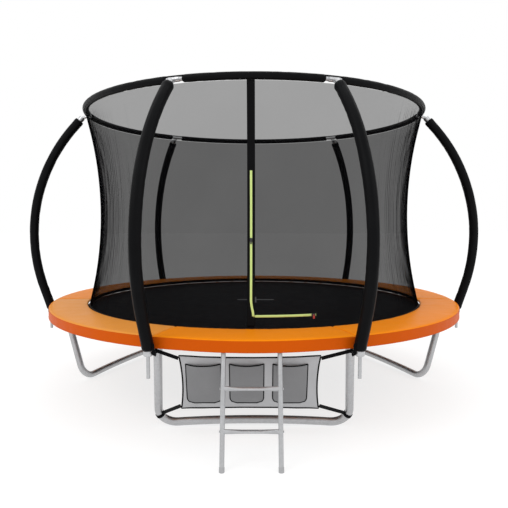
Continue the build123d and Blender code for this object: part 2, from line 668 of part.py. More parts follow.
for rung_name, height in zip(("lower", "upper"), RUNG_Z):
    middle = on_rail(0, height)
    with BuildPart() as ladder_rung:
        for side in (-1, 1):
            with BuildSketch(rung_section(middle, side * FLAT_TO)) as pressed:
                Ellipse(RUNG_WIDE, RUNG_FLAT)
            with BuildSketch(rung_section(middle, side * ROUND_FROM)) as round_end:
                Circle(RUNG_TUBE)
            loft([pressed.sketch, round_end.sketch])
            rod(middle + Vector(side * ROUND_FROM, 0, 0), middle + Vector(side * LADDER_HALF, 0, 0), RUNG_TUBE)
        with BuildSketch(rung_section(middle, -FLAT_TO)) as tread:
            Ellipse(RUNG_WIDE, RUNG_FLAT)
        extrude(tread.sketch, amount=2 * FLAT_TO)
        for side in (-1, 1):
            x = side * LADDER_HALF
            rod(on_rail(x, 6), on_rail(x, LADDER_TOP_Z), LADDER_TUBE + GAP, Mode.SUBTRACT)
            rod(middle + Vector(side * (ROUND_FROM - 16), 0, 0), middle + Vector(x, 0, 0),
                SCREW_R + GAP, Mode.SUBTRACT)
    ladder_rung.part.label = f"ladder_rung_{rung_name}"
    export_step(ladder_rung.part, f"parts/ladder_rung_{rung_name}.step")

with BuildPart() as ladder_feet:
    for side in (-1, 1):
        x = side * LADDER_HALF
        rod(on_rail(x, -20), on_rail(x, CAP_HEIGHT), FOOT_CAP)
    split(bisect_by=Plane.XY, keep=Keep.TOP)
    for side in (-1, 1):
        x = side * LADDER_HALF
        rod(on_rail(x, 6), on_rail(x, CAP_HEIGHT + 10), LADDER_TUBE + GAP, Mode.SUBTRACT)
ladder_feet.part.label = "ladder_feet"
export_step(ladder_feet.part, "parts/ladder_feet.step")

with BuildPart() as ladder_screws:
    for height in RUNG_Z:
        for side in (-1, 1):
            head = on_rail(side * (LADDER_HALF + LADDER_TUBE + 0.6), height)
            way = Vector(side, 0, 0)
            rod(head, head + way * 3.5, 5.5)
            rod(head + way, head - way * (LADDER_HALF + LADDER_TUBE - ROUND_FROM + 10), SCREW_R)
ladder_screws.part.label = "ladder_screws"
export_step(ladder_screws.part, "parts/ladder_screws.step")

# ---- storage bag --------------------------------------------------------------------------
BAG_FACE = Vector(0, -cos(radians(BAG_LEAN)), -sin(radians(BAG_LEAN)))         # out of its front
BAG_UP = Vector(0, -sin(radians(BAG_LEAN)), cos(radians(BAG_LEAN)))
bag_top = Vector(BAG_X, AXIS_Y - BAG_TOP[0], BAG_TOP[1])
bag_plane = Plane(bag_top - BAG_UP * BAG_HEIGHT / 2, x_dir=(1, 0, 0), z_dir=BAG_FACE)
POCKET_HEIGHT = BAG_HEIGHT - POCKET_TOP - POCKET_LOW
POCKET_MIDDLE = (POCKET_LOW - POCKET_TOP) / 2


with BuildPart() as storage_bag:
    with BuildSketch(bag_plane):
        RectangleRounded(BAG_WIDTH, BAG_HEIGHT, 12)
    extrude(amount=BAG_CLOTH)
    for middle, width in POCKETS:
        with BuildSketch(bag_plane.offset(BAG_CLOTH)) as pocket:
            with Locations((middle - BAG_X, POCKET_MIDDLE)):
                Rectangle(width, POCKET_HEIGHT)
            fillet(pocket.vertices().group_by(Axis.Y)[0], POCKET_CORNER)
        extrude(amount=POCKET_DEPTH)
        with BuildSketch(bag_plane.offset(BAG_CLOTH)) as hollow:
            with Locations((middle - BAG_X, POCKET_MIDDLE + BAG_CLOTH)):
                Rectangle(width - 2 * BAG_CLOTH, POCKET_HEIGHT)
            fillet(hollow.vertices().group_by(Axis.Y)[0], POCKET_CORNER - BAG_CLOTH)
        extrude(amount=POCKET_DEPTH - BAG_CLOTH, mode=Mode.SUBTRACT)
    # Parted into touching walls, so that no pocket is one bent solid.
    split(bisect_by=bag_plane.offset(BAG_CLOTH), keep=Keep.BOTH)
    split(bisect_by=bag_plane.offset(POCKET_DEPTH), keep=Keep.BOTH)
    corner_top = bag_plane.from_local_coords((0, POCKET_LOW + POCKET_CORNER - BAG_HEIGHT / 2, 0))
    split(bisect_by=across(corner_top, bag_plane.y_dir), keep=Keep.BOTH)
    for middle, width in POCKETS:
        for edge in (POCKET_CORNER - width / 2, width / 2 - POCKET_CORNER):
            beside = bag_plane.from_local_coords((middle - BAG_X + edge, 0, 0))
            split(bisect_by=across(beside, bag_plane.x_dir), keep=Keep.BOTH)
storage_bag.part.label = "storage_bag"
export_step(storage_bag.part, "parts/storage_bag.step")

STRAP_WIDTH = 20
STRAP_THICK = 2
STRAP_LOW = LEG_JOINT + 44   # along the foot bar to the lower straps' loops
BEND_ROOM = 0.7              # a loop stands this far off the bent tube
CLAMP_LOOP_AT = 1498         # the upper straps' loops start here on the clamp arms


def bag_corner(side, corner_up):
    """Where a strap meets the bag's side edge: side -1 left, 1 right; corner_up -1 low, 1 high."""
    along = side * (BAG_WIDTH / 2 + 3.5)
    return bag_plane.from_local_coords(Vector(along, corner_up * (BAG_HEIGHT / 2 - 16), BAG_CLOTH / 2))


def flat_strap(start, end, edge_way):
    """Straight flat strap whose width runs along edge_way, inside the part being built."""
    reach = end - start
    with BuildSketch(Plane(start, x_dir=edge_way.cross(reach), z_dir=reach)) as section:
        Rectangle(STRAP_THICK, STRAP_WIDTH)
    extrude(section.sketch, amount=reach.length)


with BuildPart() as bag_straps:
    for i, side in ((0, -1), (1, 1)):
        azimuth = STATIONS[i]
        # low strap, looped round the bottom bend of the leg
        bar = foot_bars["front"]
        reach = STRAP_LOW if side < 0 else bar.length - STRAP_LOW
        loop_at = bar @ (reach / bar.length)
        loop_way = bar % (reach / bar.length)
        with BuildSketch(across(loop_at - loop_way * STRAP_WIDTH / 2, loop_way)) as loop:
            Circle(LEG_TUBE + STRAP_THICK + BEND_ROOM)
        extrude(loop.sketch, amount=STRAP_WIDTH)
        low_corner = bag_corner(side, -1)
        way = (low_corner - loop_at).normalized()
        flat_strap(loop_at + way * (LEG_TUBE + 1.5), low_corner, leg_axes[i][1])
        # high strap, looped round the clamp's arm
        loop_foot = station(azimuth, CLAMP_LOOP_AT, CLAMP_Z)
        with BuildSketch(Plane(loop_foot, x_dir=outward(azimuth + 90), z_dir=outward(azimuth))) as loop:
            Rectangle(2 * (CLAMP_HALF + STRAP_THICK), CLAMP_HEIGHT + 2 * STRAP_THICK)
        extrude(loop.sketch, amount=STRAP_WIDTH)
        strap_start = station(azimuth, CLAMP_LOOP_AT + STRAP_WIDTH / 2, CLAMP_Z)
        strap_start -= outward(azimuth + 90) * side * (CLAMP_HALF + 1)
        flat_strap(strap_start, bag_corner(side, 1), UP)
        arm_start = station(azimuth, CLAMP_LOOP_AT - 30, CLAMP_Z)
        with BuildSketch(Plane(arm_start, x_dir=outward(azimuth + 90), z_dir=outward(azimuth))) as arm:
            Rectangle(2 * CLAMP_HALF + 0.6, CLAMP_HEIGHT + 0.6)
        extrude(arm.sketch, amount=STRAP_WIDTH + 60, mode=Mode.SUBTRACT)
    tube(foot_bars["front"], LEG_TUBE + BEND_ROOM, None, Mode.SUBTRACT)
    with BuildSketch(bag_plane.offset(-40)) as past_edge:
        Rectangle(BAG_WIDTH + 1, BAG_HEIGHT + 60)
    extrude(past_edge.sketch, amount=80, mode=Mode.SUBTRACT)
bag_straps.part.label = "bag_straps"
export_step(bag_straps.part, "parts/bag_straps.step")
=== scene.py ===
"""Looks for the backyard trampoline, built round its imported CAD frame.  Metres, +Z up."""
from math import asin, cos, degrees, pi, radians, sin, sqrt, tau

import bpy
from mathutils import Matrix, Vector, noise


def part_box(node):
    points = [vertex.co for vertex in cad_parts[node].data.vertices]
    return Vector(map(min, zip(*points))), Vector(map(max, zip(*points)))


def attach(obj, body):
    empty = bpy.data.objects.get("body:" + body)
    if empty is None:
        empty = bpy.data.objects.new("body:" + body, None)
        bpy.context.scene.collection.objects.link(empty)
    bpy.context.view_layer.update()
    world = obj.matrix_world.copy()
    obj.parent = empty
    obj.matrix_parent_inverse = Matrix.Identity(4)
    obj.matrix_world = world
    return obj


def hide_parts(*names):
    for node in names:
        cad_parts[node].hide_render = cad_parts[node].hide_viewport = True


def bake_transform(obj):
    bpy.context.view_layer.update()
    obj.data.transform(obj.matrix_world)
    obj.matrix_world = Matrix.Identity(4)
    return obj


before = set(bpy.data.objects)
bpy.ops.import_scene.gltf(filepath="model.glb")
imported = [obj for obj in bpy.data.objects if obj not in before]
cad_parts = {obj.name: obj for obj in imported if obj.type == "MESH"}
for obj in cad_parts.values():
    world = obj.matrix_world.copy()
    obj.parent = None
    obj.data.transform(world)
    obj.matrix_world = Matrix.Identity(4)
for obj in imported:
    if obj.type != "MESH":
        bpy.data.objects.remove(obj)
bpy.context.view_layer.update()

scene = bpy.context.scene

# ---- places, from the frame and the part's own dimensions ----------------------------------
mat_low, mat_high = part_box("jumping_mat")
AXIS_Y = (mat_low.y + mat_high.y) / 2            # the bed's upright axis
MAT_R = (mat_high.x - mat_low.x) / 2
MAT_TOP = mat_high.z
STATIONS = [-110.8, -69.2, -6.0, 53.3, 126.7, 186.0]   # azimuth of each pole, degrees
SPRINGS = 54
SPRING_Z = 0.576
HOOP_R, HOOP_Z, HOOP_SLEEVE = 1.256, 2.018, 0.023
NET_ARC, NET_ARC_R, NET_ARC_Z = 2.590, 3.753, 1.295
NET_LOW, NET_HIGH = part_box("enclosure_net")[0].z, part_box("enclosure_net")[1].z
PAD_INNER, PAD_LOW = 1.268, 0.598
SKIRT_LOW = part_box("pad_skirt")[0].z
DOOR_AZ, ZIP_LOW, ZIP_HIGH, ZIP_SWEEP = -90.8, 0.684, 1.510, 17.6


def place(azimuth, radius, height):
    """Point at this azimuth (degrees), radius and height about the bed's axis."""
    a = radians(azimuth)
    return Vector((radius * cos(a), AXIS_Y + radius * sin(a), height))


def outward(azimuth):
    """Level unit vector away from the bed's axis."""
    return Vector((cos(radians(azimuth)), sin(radians(azimuth)), 0))


def net_radius(height, proud=0.0):
    """Radius of the net, or of a surface standing proud of it, at a height."""
    return NET_ARC_R - sqrt((NET_ARC - proud) ** 2 - (height - NET_ARC_Z) ** 2)


def net_normal(azimuth, height):
    """The way out of the net at this place on its waisted side."""
    slope = asin((height - NET_ARC_Z) / NET_ARC)
    return outward(azimuth) * cos(slope) - Vector((0, 0, sin(slope)))


def wave(*at, scale=1.0, seed=0.0):
    """Smooth seeded noise, about -1 to 1."""
    x, y, z = (*at, 0.0, 0.0)[:3]
    return noise.noise(Vector((x * scale + seed, y * scale + seed * 1.7, z * scale - seed)))


def ease(t):
    """Smooth step from 0 to 1."""
    t = min(max(t, 0.0), 1.0)
    return t * t * (3 - 2 * t)


# ---- mesh builders ------------------------------------------------------------------------
def make(name, points, faces, shade, body=None, uvs=None, smooth=True):
    """New mesh object; uvs is a list of (u, v) in metres, one for each point."""
    mesh = bpy.data.meshes.new(name)
    mesh.from_pydata([tuple(p) for p in points], [], faces)
    if uvs:
        layer = mesh.uv_layers.new(name="metres")
        for loop in mesh.loops:
            layer.data[loop.index].uv = uvs[loop.vertex_index]
    mesh.polygons.foreach_set("use_smooth", [smooth] * len(mesh.polygons))
    mesh.materials.append(shade)
    mesh.validate()
    piece = bpy.data.objects.new(name, mesh)
    scene.collection.objects.link(piece)
    if body:
        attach(piece, body)
    return piece


def grid(rows, columns, point, closed_rows=False, closed_columns=False, offset=0):
    """Points and quads of a rows by columns grid; point(i, j) gives each point."""
    points = [point(i, j) for i in range(rows) for j in range(columns)]
    faces = []
    for i in range(rows if closed_rows else rows - 1):
        for j in range(columns if closed_columns else columns - 1):
            i2, j2 = (i + 1) % rows, (j + 1) % columns
            faces.append([offset + i * columns + j, offset + i * columns + j2,
                          offset + i2 * columns + j2, offset + i2 * columns + j])
    return points, faces


def tube(path, radius, sides=16, closed=False, cap=True, up=None):
    """Points, faces and uvs of a tube along a path; radius is a number or f(i, angle)."""
    count = len(path)
    rings, travelled = [], [0.0]
    for a, b in zip(path, path[1:]):
        travelled.append(travelled[-1] + (b - a).length)
    normal = None
    for i, at in enumerate(path):
        before = path[(i - 1) % count] if closed or i else at
        after = path[(i + 1) % count] if closed or i < count - 1 else at
        way = (after - before).normalized()
        if normal is None:
            normal = up or (Vector((0, 0, 1)) if abs(way.z) < 0.8 else Vector((1, 0, 0)))
        normal = (normal - way * normal.dot(way)).normalized()
        rings.append((at, normal, way.cross(normal)))
    points, uvs = [], []
    for i, (at, n, b) in enumerate(rings):
        for k in range(sides):
            angle = tau * k / sides
            r = radius(i, angle) if callable(radius) else radius
            points.append(at + n * (r * cos(angle)) + b * (r * sin(angle)))
            uvs.append((travelled[i], angle * 0.03))
    faces = []
    for i in range(count if closed else count - 1):
        for k in range(sides):
            i2, k2 = (i + 1) % count, (k + 1) % sides
            faces.append([i * sides + k, i * sides + k2, i2 * sides + k2, i2 * sides + k])
    if cap and not closed:
        faces.append(list(range(sides))[::-1])
        faces.append([(count - 1) * sides + k for k in range(sides)])
    return points, faces, uvs


def joined(parts):
    """Several (points, faces, uvs) as one."""
    points, faces, uvs = [], [], []
    for p, f, u in parts:
        faces += [[len(points) + k for k in face] for face in f]
        points += p
        uvs += u
    return points, faces, uvs


def block(centre, x_way, y_way, z_way, size, bevel=0.25):
    """Bevelled block: a soft-edged box as points, faces and uvs."""
    half = [s / 2 for s in size]
    cut = min(half) * bevel
    profile = [(half[0] - cut, half[1]), (half[0], half[1] - cut)]
    ring = []
    for sx, sy in ((1, 1), (1, -1), (-1, -1), (-1, 1)):
        pair = profile if sx * sy > 0 else profile[::-1]
        ring += [(sx * a, sy * b) for a, b in pair]
    levels = [(-half[2], cut), (-half[2] + cut, 0), (half[2] - cut, 0), (half[2], cut)]
    points = []
    for z, inset in levels:
        for a, b in ring:
            a -= inset * (1 if a > 0 else -1)
            b -= inset * (1 if b > 0 else -1)
            points.append(centre + x_way * a + y_way * b + z_way * z)
    count = len(ring)
    faces = [[i * count + k, i * count + (k + 1) % count, (i + 1) * count + (k + 1) % count,
              (i + 1) * count + k] for i in range(3) for k in range(count)]
    faces += [list(range(count))[::-1], [3 * count + k for k in range(count)]]
    return points, faces, [(0.0, 0.0)] * len(points)


def sheet_solid(rows, columns, front, thick, closed_columns=False):
    """Thin closed sheet: front(i, j) gives its middle point and its normal."""
    def side(sign):
        def at(i, j):
            p, n = front(i, j)
            return p + n * (sign * thick / 2)
        return at
    points, faces = grid(rows, columns, side(1), closed_columns=closed_columns)
    back, back_faces = grid(rows, columns, side(-1), closed_columns=closed_columns, offset=len(points))
    count = rows * columns
    faces += [face[::-1] for face in back_faces]
    points += back
    wrap = columns if closed_columns else columns - 1
    for j in range(wrap):
        j2 = (j + 1) % columns
        faces.append([j2, j, count + j, count + j2])
        last = (rows - 1) * columns
        faces.append([last + j, last + j2, count + last + j2, count + last + j])
    if not closed_columns:
        for i in range(rows - 1):
            a, b = i * columns, (i + 1) * columns
            faces.append([a, b, count + b, count + a])
            a, b = a + columns - 1, b + columns - 1
            faces.append([b, a, count + a, count + b])
    return points, faces


# ---- materials ----------------------------------------------------------------------------
class Shade:
    """A Principled material and the few node tricks that the pieces share."""

    def __init__(self, name, colour, rough, metal=0.0, **sockets):
        self.material = bpy.data.materials.new(name)
        self.material.use_nodes = True
        self.tree = self.material.node_tree
        self.bsdf = self.tree.nodes["Principled BSDF"]
        self.colour = (*colour, 1.0)
        self.bsdf.inputs["Base Color"].default_value = self.colour
        self.bsdf.inputs["Roughness"].default_value = rough
        self.bsdf.inputs["Metallic"].default_value = metal
        for socket, value in sockets.items():
            self.bsdf.inputs[socket.replace("_", " ")].default_value = value
        self.paint = None
        self.relief = None

    def node(self, kind, settings=None, **inputs):
        made = self.tree.nodes.new(kind)
        for key, value in (settings or {}).items():
            setattr(made, key, value)
        for key, value in inputs.items():
            socket = made.inputs[int(key[1:])] if key[0] == "i" and key[1:].isdigit() else made.inputs[key]
            if hasattr(value, "is_linked"):
                self.tree.links.new(value, socket)
            else:
                socket.default_value = value
        return made

    def math(self, operation, a, b=0.0, c=0.0):
        return self.node("ShaderNodeMath", {"operation": operation}, i0=a, i1=b, i2=c).outputs[0]

    def where(self, uv=False):
        """Object place in metres, or the mesh's own metres map."""
        if uv:
            return self.node("ShaderNodeUVMap", {"uv_map": "metres"}).outputs[0]
        return self.node("ShaderNodeTexCoord").outputs["Object"]

    def noise(self, scale, detail=3.0, rough=0.55, at=None):
        texture = self.node("ShaderNodeTexNoise", Vector=at or self.where(), Scale=scale, Detail=detail,
                            Roughness=rough)
        return texture.outputs["Factor"] if "Factor" in texture.outputs else texture.outputs[0]

    def ramp(self, value, low, high, to_low=0.0, to_high=1.0):
        return self.node("ShaderNodeMapRange", None, i0=value, i1=low, i2=high, i3=to_low,
                         i4=to_high).outputs[0]

    def mixed(self, blend_type, share, other):
        """Mix another colour into the paint."""
        if self.paint is None:
            self.paint = self.node("ShaderNodeRGB").outputs[0]
            self.paint.default_value = self.colour
        mix = self.node("ShaderNodeMix", {"data_type": "RGBA", "blend_type": blend_type},
                        i0=share, i6=self.paint, i7=other)
        self.paint = mix.outputs[2]
        self.tree.links.new(self.paint, self.bsdf.inputs["Base Color"])
        return self

    def vary(self, value, darker, lighter):
        """Multiply the colour by a factor from darker to lighter as value goes from 0 to 1."""
        factor = self.ramp(value, 0.0, 1.0, darker, lighter)
        tone = self.node("ShaderNodeCombineColor", None, i0=factor, i1=factor, i2=factor).outputs[0]
        return self.mixed("MULTIPLY", 1.0, tone)

    def overlay(self, value, colour):
        """Paint another colour where value is 1."""
        return self.mixed("MIX", value, (*colour, 1.0))

    def roughen(self, value, low, high):
        self.tree.links.new(self.ramp(value, 0.0, 1.0, low, high), self.bsdf.inputs["Roughness"])
        return self

    def bump(self, height, distance, strength=1.0):
        """Add relief of this depth in metres; calls stack."""
        made = self.node("ShaderNodeBump", None, Height=height, Distance=distance, Strength=strength)
        if self.relief:
            self.tree.links.new(self.relief, made.inputs["Normal"])
        self.relief = made.outputs[0]
        self.tree.links.new(self.relief, self.bsdf.inputs["Normal"])
        return self

    def weave(self, pitch, at=None, swap=(0, 1)):
        """Plain weave height, 0 to 1: crossing ribs of this pitch in metres."""
        parts = self.node("ShaderNodeSeparateXYZ", None, i0=at or self.where())
        waves = []
        for axis in swap:
            phase = self.math("MULTIPLY", parts.outputs[axis], tau / pitch)
            waves.append(self.math("ABSOLUTE", self.math("SINE", phase)))
        return self.math("MAXIMUM", *waves)

    def polar(self):
        """Azimuth about the bed's axis, in radians, and height."""
        shifted = self.node("ShaderNodeVectorMath", {"operation": "SUBTRACT"}, i0=self.where(),
                            i1=(0.0, AXIS_Y, 0.0)).outputs[0]
        parts = self.node("ShaderNodeSeparateXYZ", None, i0=shifted)
        angle = self.math("ARCTAN2", parts.outputs[1], parts.outputs[0])
        return angle, parts.outputs[2]


def galvanised():
    s = Shade("galvanised", (0.455, 0.46, 0.47), 0.36, 0.82)
    cells = s.node("ShaderNodeTexVoronoi", None, Vector=s.where(), Scale=90.0)
    spangle = s.node("ShaderNodeSeparateColor", None, i0=cells.outputs["Color"]).outputs[0]
    cloud = s.noise(9.0, 4.0)
    s.vary(spangle, 0.95, 1.04).vary(cloud, 0.88, 1.10)
    s.roughen(s.noise(40.0), 0.30, 0.50)
    s.bump(s.noise(260.0, 2.0), 0.00025, 0.35).bump(cloud, 0.002, 0.15)
    return s.material


def zinc(name="zinc"):
    s = Shade(name, (0.50, 0.505, 0.515), 0.28, 0.9)
    s.vary(s.noise(30.0), 0.86, 1.08).roughen(s.noise(120.0), 0.18, 0.42)
    s.bump(s.noise(400.0), 0.0002, 0.3)
    return s.material


def sleeve_cloth():
    s = Shade("sleeve_cloth", (0.0034, 0.0035, 0.0040), 0.42, Specular_IOR_Level=0.05)
    uv = s.where(uv=True)
    s.vary(s.noise(7.0, 5.0), 0.75, 1.45).roughen(s.noise(25.0), 0.32, 0.52)
    s.bump(s.weave(0.0022, uv), 0.0004, 0.35).bump(s.noise(60.0, 4.0), 0.0016, 0.4)
    return s.material


def orange_vinyl(name, colour):
    """Coated cloth, a little cloudy, with a fine weave and soft creases."""
    s = Shade(name, colour, 0.56, Specular_IOR_Level=0.05)
    cloud = s.noise(2.2, 4.0)
    s.vary(cloud, 0.94, 1.05).vary(s.noise(45.0, 3.0), 0.97, 1.03)
    s.roughen(s.noise(14.0), 0.36, 0.50)
    weave = s.weave(0.0018)
    s.bump(weave, 0.00025, 0.30).bump(s.noise(11.0, 4.0), 0.004, 0.30).bump(s.noise(38.0, 3.0), 0.001, 0.3)
    return s.material


def net_mesh():
    """Knitted mesh: alpha follows small staggered holes, in metres round and up the net."""
    s = Shade("net_mesh", (0.0030, 0.0030, 0.0034), 0.9, Specular_IOR_Level=0.0)
    angle, height = s.polar()
    round_way = s.math("MULTIPLY", angle, NET_WAIST * tau / MESH_WIDE)
    up_way = s.math("MULTIPLY", height, tau / MESH_HIGH)
    a = s.math("SINE", s.math("ADD", round_way, up_way))
    b = s.math("SINE", s.math("SUBTRACT", round_way, up_way))
    holes = s.math("MULTIPLY", a, b)
    solid = s.ramp(holes, -1.0, 1.0, 0.55, 0.76)
    patch = s.ramp(s.noise(1.3, 3.0), 0.3, 0.7, -0.012, 0.012)
    s.tree.links.new(s.math("ADD", solid, patch), s.bsdf.inputs["Alpha"])
    s.bump(holes, 0.0005, 0.3)
    s.material.surface_render_method = "BLENDED"
    return s.material


def webbing():
    s = Shade("webbing_black", (0.0035, 0.0035, 0.004), 0.6, Specular_IOR_Level=0.05)
    uv = s.where(uv=True)
    s.vary(s.noise(30.0, 3.0), 0.75, 1.3).bump(s.weave(0.0026, uv), 0.0006, 0.7)
    return s.material


def jumping_cloth():
    """Woven black cloth with a printed grey cross at its middle."""
    s = Shade("jumping_cloth", (0.0030, 0.0034, 0.0050), 0.6, Specular_IOR_Level=0.02)
    parts = s.node("ShaderNodeSeparateXYZ", None, i0=s.where())
    s.vary(s.noise(3.0, 5.0), 0.8, 1.3)
    x = s.math("ABSOLUTE", s.math("SUBTRACT", parts.outputs[0], CROSS_X))
    y = s.math("ABSOLUTE", s.math("SUBTRACT", parts.outputs[1], AXIS_Y + CROSS_Y))
    line_x = s.math("MULTIPLY", s.math("LESS_THAN", y, CROSS_WIDE), s.math("LESS_THAN", x, CROSS_HALF))
    line_y = s.math("MULTIPLY", s.math("LESS_THAN", x, CROSS_THIN), s.math("LESS_THAN", y, CROSS_HALF))
    cross = s.math("MAXIMUM", line_x, line_y)
    s.overlay(s.math("MULTIPLY", cross, 0.85), (0.30, 0.30, 0.31))
    s.roughen(s.noise(20.0), 0.40, 0.60)
    s.bump(s.weave(0.0030), 0.0007, 0.5).bump(s.noise(5.0, 3.0), 0.004, 0.25)
    return s.material


def bag_cloth(name, colour, pitch):
    s = Shade(name, colour, 0.72, Sheen_Weight=0.08)
    s.vary(s.noise(9.0, 4.0), 0.88, 1.08).vary(s.noise(160.0, 2.0), 0.96, 1.04)
    s.bump(s.weave(pitch, swap=(0, 2)), 0.0005, 0.45).bump(s.noise(22.0, 4.0), 0.003, 0.35)
    return s.material


def plastic(name, colour, rough=0.4, gloss=0.5):
    s = Shade(name, colour, rough, Specular_IOR_Level=gloss)
    s.vary(s.noise(60.0), 0.92, 1.06).bump(s.noise(300.0), 0.0002, 0.25)
    return s.material


CROSS_X, CROSS_Y, CROSS_HALF = 0.013, 0.049, 0.148     # the printed cross on the mat
CROSS_WIDE, CROSS_THIN = 0.017, 0.006
NET_WAIST, MESH_WIDE, MESH_HIGH = 1.2, 0.0044, 0.0050
GALVANISED = galvanised()
ZINC = zinc()
SPRING_ZINC = zinc("spring_zinc")
SLEEVE = sleeve_cloth()
PAD_TOP = orange_vinyl("pad_orange", (0.860, 0.245, 0.003))
SKIRT = orange_vinyl("skirt_orange", (0.560, 0.084, 0.0006))
# Painted light: a paler, washed-out copy of the same orange vinyl, used for the front-left pad section.
PAD_PAINTED_LIGHT = orange_vinyl("pad_orange_painted_light", (0.760, 0.290, 0.045))
NET = net_mesh()
WEBBING = webbing()
JUMP = jumping_cloth()
BAG = bag_cloth("bag_grey", (0.40, 0.40, 0.41), 0.0024)
POCKET = bag_cloth("pocket_grey", (0.185, 0.185, 0.190), 0.0034)
BINDING = plastic("binding_black", (0.004, 0.004, 0.0045), 0.7, gloss=0.04)
LIME = plastic("zip_lime", (0.62, 0.76, 0.26), 0.45)
BLACK_METAL = plastic("slider_black", (0.02, 0.02, 0.02), 0.3)
RED = plastic("pull_red", (0.55, 0.06, 0.05), 0.4)
FOOT = plastic("foot_grey", (0.36, 0.36, 0.37), 0.5)


# ---- CAD nodes that keep their shape --------------------------------------------------------
def dress(names, shade):
    for name in names:
        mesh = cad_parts[name].data
        mesh.materials.clear()
        mesh.materials.append(shade)


six = range(1, 7)
dress([f"frame_rail_{i}" for i in six] + [f"leg_upright_{i}" for i in six], GALVANISED)
dress([f"pole_lower_{i}" for i in six] + [f"pole_upper_{i}" for i in six], GALVANISED)
dress(["leg_base_front", "leg_base_left", "leg_base_right", "leg_sockets", "top_hoop"], GALVANISED)
dress(["ladder_rail_left", "ladder_rail_right", "ladder_rung_lower", "ladder_rung_upper"], GALVANISED)
dress(["pole_clamps", "hoop_brackets", "clamp_bolts", "ladder_screws"], ZINC)
dress(["ladder_feet"], FOOT)
dress(["upper_slider", "upper_pull", "lower_slider"], BLACK_METAL)
dress(["lower_pull"], RED)


# ---- pole sleeves -------------------------------------------------------------------------
POLE_R, BEND_Z, BEND_R = 1.570, 0.552, 0.060
LEAN_OUT, LEAN_IN, STRAIGHT, BIG_ARC, TOP_STRAIGHT = radians(18), radians(41), 0.150, 1.250, 0.100
SLEEVE_Z, SLEEVE_R, SLEEVE_SHORT = 0.548, 0.034, 0.026
SLEEVE_BORE = 0.0195


def pole_route(step=0.012):
    """Sleeve centreline as (radius, height) pairs, evenly stepped."""
    knee = (POLE_R + BEND_R * (1 - cos(LEAN_OUT)), BEND_Z + BEND_R * sin(LEAN_OUT))
    foot = (knee[0] + STRAIGHT * sin(LEAN_OUT), knee[1] + STRAIGHT * cos(LEAN_OUT))
    centre = (foot[0] - BIG_ARC * cos(LEAN_OUT), foot[1] + BIG_ARC * sin(LEAN_OUT))
    stretches = [(BEND_Z - SLEEVE_Z, lambda s: (POLE_R, SLEEVE_Z + s)),
                 (BEND_R * LEAN_OUT, lambda s: (POLE_R + BEND_R * (1 - cos(s / BEND_R)),
                                                BEND_Z + BEND_R * sin(s / BEND_R))),
                 (STRAIGHT, lambda s: (knee[0] + s * sin(LEAN_OUT), knee[1] + s * cos(LEAN_OUT))),
                 (BIG_ARC * (LEAN_OUT + LEAN_IN),
                  lambda s: (centre[0] + BIG_ARC * cos(s / BIG_ARC - LEAN_OUT),
                             centre[1] + BIG_ARC * sin(s / BIG_ARC - LEAN_OUT)))]
    head = stretches[3][1](stretches[3][0])
    stretches.append((TOP_STRAIGHT - SLEEVE_SHORT,
                      lambda s: (head[0] - s * sin(LEAN_IN), head[1] + s * cos(LEAN_IN))))
    whole = sum(length for length, _ in stretches)
    count = int(whole / step)
    route = []
    for k in range(count + 1):
        s = whole * k / count
        for length, f in stretches:
            if s <= length + 1e-9 or f is stretches[-1][1]:
                route.append(f(s))
                break
            s -= length
    return route, whole


def build_sleeve(index, azimuth):
    """Foam sleeve in coated cloth: creased on the inside of the bend, with a seam and a hemmed end."""
    route, whole = pole_route()
    count = len(route)
    path = [place(azimuth, r, z) for r, z in route]
    sides = 40
    seam = 2.2 if index % 2 else -2.2

    def radius(i, angle):
        t = i / (count - 1)
        s = t * whole
        slack = wave(s, cos(angle), sin(angle), scale=3.1, seed=index * 3.7) * 0.0016
        crease = wave(s * 9.0, cos(angle) * 0.8, sin(angle) * 0.8, scale=2.2, seed=index + 11) ** 2
        inner = ease((-cos(angle) + 0.2) / 1.2)
        body = SLEEVE_R - 0.0012 + slack - 0.0045 * crease * (0.35 + 0.65 * inner)
        gap = (angle - seam + pi) % tau - pi
        body += 0.0011 * max(0.0, 1 - abs(gap) / 0.12)
        end = min(s, whole - s)
        body += 0.0009 * ease((0.030 - end) / 0.004) - 0.0012 * max(0.0, 1 - abs(end - 0.032) / 0.004)
        return body - 0.004 * max(0.0, 1 - end / 0.004) ** 2

    points, faces, uvs = tube(path, radius, sides, cap=False, up=outward(azimuth))
    # The two cut ends turn in to the steel tube.
    for row, flip in ((0, 1), (count - 1, 0)):
        start = len(points)
        for k in range(sides):
            at = points[row * sides + k]
            centre = path[row]
            points.append(centre + (at - centre).normalized() * SLEEVE_BORE)
            uvs.append(uvs[row * sides + k])
        for k in range(sides):
            k2 = (k + 1) % sides
            quad = [row * sides + k, row * sides + k2, start + k2, start + k]
            faces.append(quad[::-1] if flip else quad)
    piece = make(f"sleeve_{index}", points, faces, SLEEVE, "frame", uvs)
    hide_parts(f"pole_sleeve_{index}")


for i, azimuth in enumerate(STATIONS):
    build_sleeve(i + 1, azimuth)


# ---- hoop sleeve --------------------------------------------------------------------------
HOOP_BARE = 2.3          # degrees of bare hoop on each side of a pole
HOOP_RINGS = 2.4         # mesh rings in each degree of hoop sleeve
HEM_CORD_R = 0.0045


